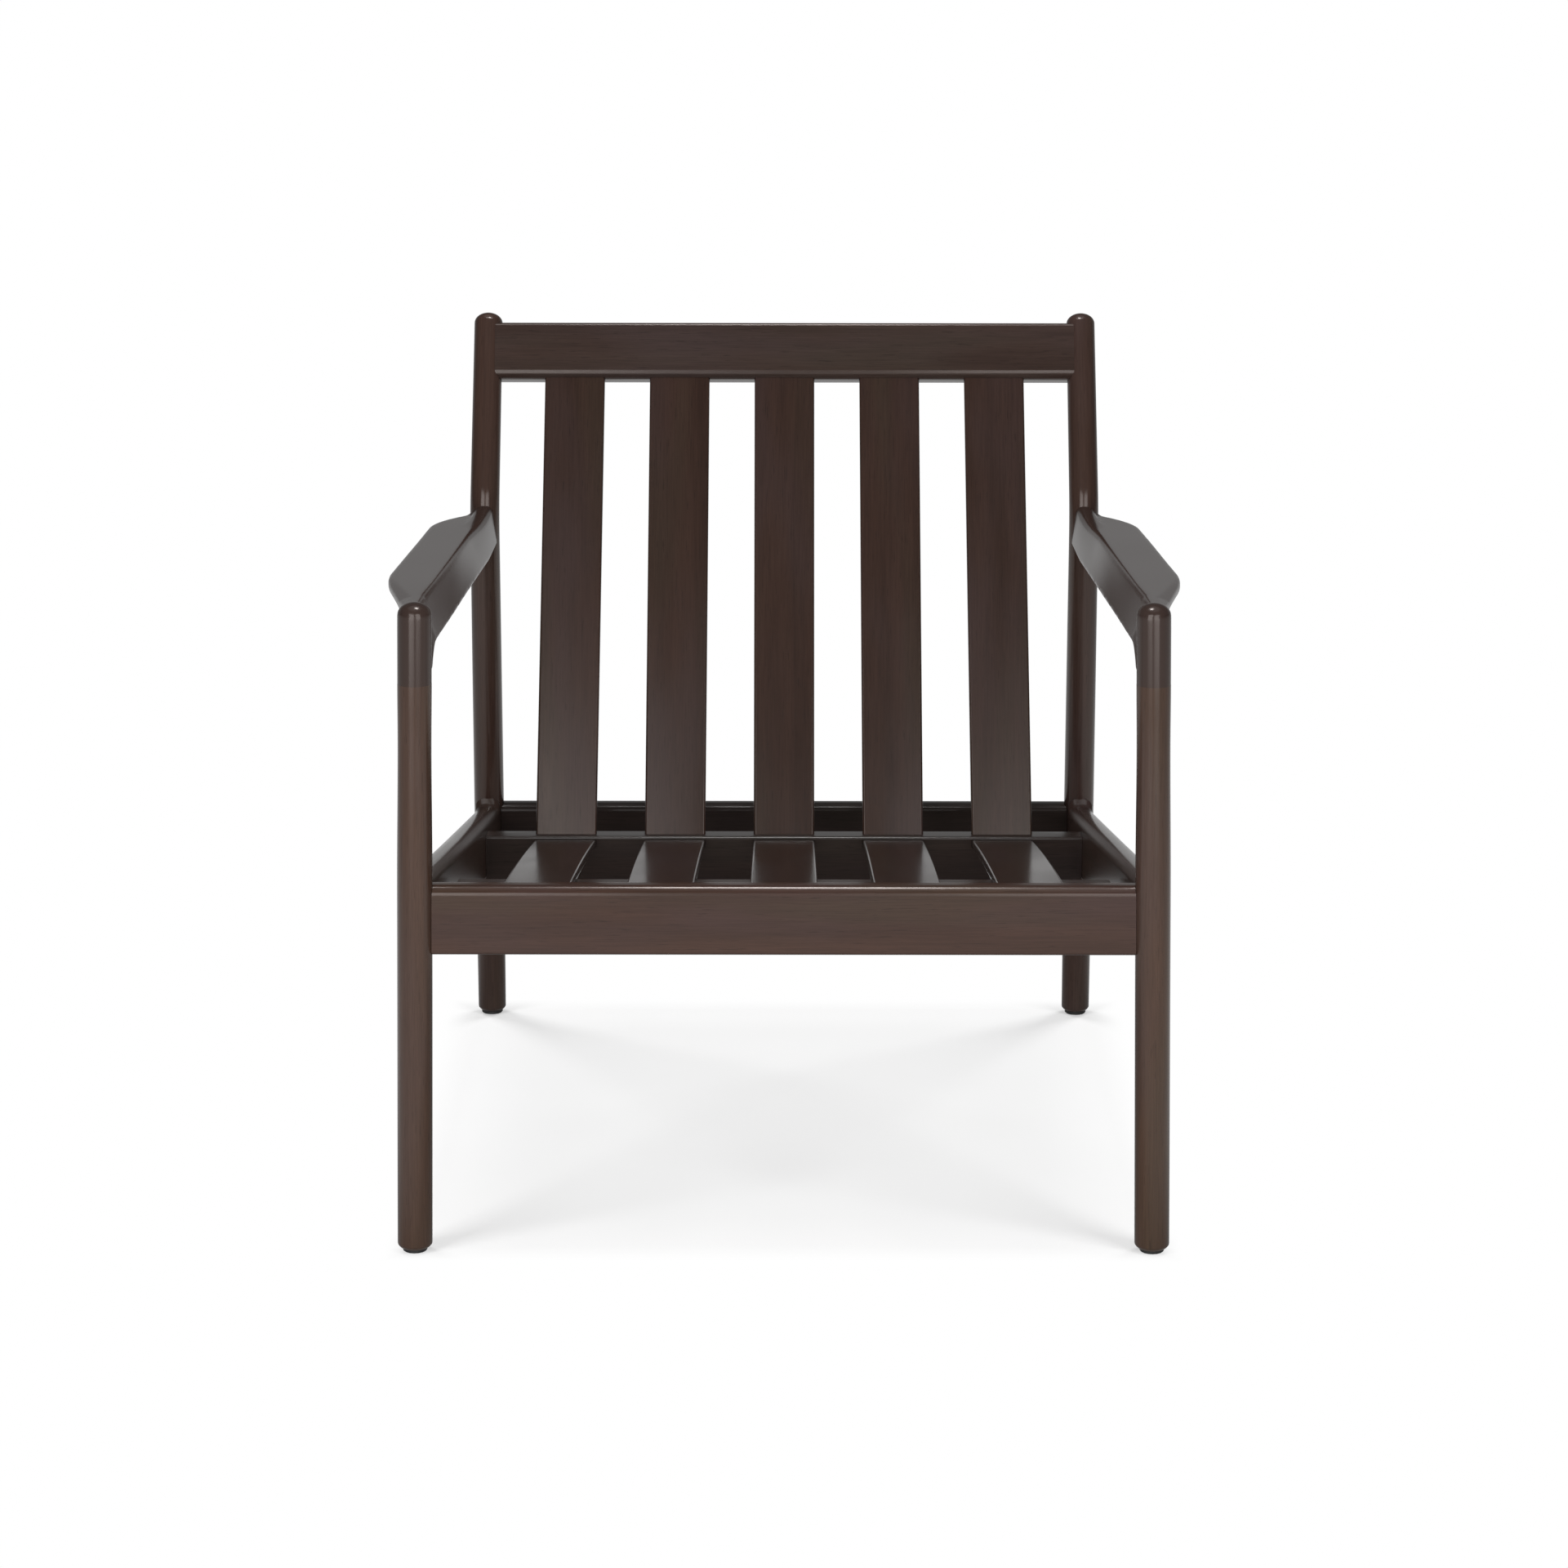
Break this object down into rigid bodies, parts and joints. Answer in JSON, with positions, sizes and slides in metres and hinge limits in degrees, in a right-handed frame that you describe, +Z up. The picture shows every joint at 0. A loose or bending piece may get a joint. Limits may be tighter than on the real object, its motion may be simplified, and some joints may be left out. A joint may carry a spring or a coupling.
{
  "type": "lounge armchair",
  "caption": "Wooden lounge armchair frame: turned front legs, bent rear posts, carved paddle arms, reclined slatted back and slatted seat for loose cushions.",
  "frame": {"origin": "on the floor, under the middle of the chair's bounding box", "axes": "+X to the right of someone facing the chair's front, +Y from front to back, +Z up"},
  "size_m": [0.7538, 0.8134, 0.7757],
  "materials": {
    "stained_wood": "dark brown stain under satin lacquer",
    "dowel_wood": "bare beech",
    "glide_plastic": "black moulded plastic",
    "screw_steel": "zinc plated"
  },
  "bodies": {
    "root": {"arm_left": "stained_wood", "arm_right": "stained_wood", "front_leg_left": "stained_wood", "front_leg_right": "stained_wood", "rear_post_left": "stained_wood", "rear_post_right": "stained_wood", "front_rail": "stained_wood", "side_rail_left": "stained_wood", "side_rail_right": "stained_wood", "rear_rail": "stained_wood", "slat_rail": "stained_wood", "crest_rail": "stained_wood", "seat_batten": "stained_wood", "back_slat_1": "stained_wood", "back_slat_2": "stained_wood", "back_slat_3": "stained_wood", "back_slat_4": "stained_wood", "back_slat_5": "stained_wood", "seat_slat_1": "stained_wood", "seat_slat_2": "stained_wood", "seat_slat_3": "stained_wood", "seat_slat_4": "stained_wood", "seat_slat_5": "stained_wood", "arm_dowel_left": "dowel_wood", "arm_dowel_right": "dowel_wood", "foot_glide_front_left": "glide_plastic", "foot_glide_front_right": "glide_plastic", "foot_glide_rear_left": "glide_plastic", "foot_glide_rear_right": "glide_plastic", "batten_screw_1": "screw_steel", "batten_screw_2": "screw_steel", "batten_screw_3": "screw_steel", "batten_screw_4": "screw_steel", "batten_screw_5": "screw_steel"}
  },
  "joints": []
}
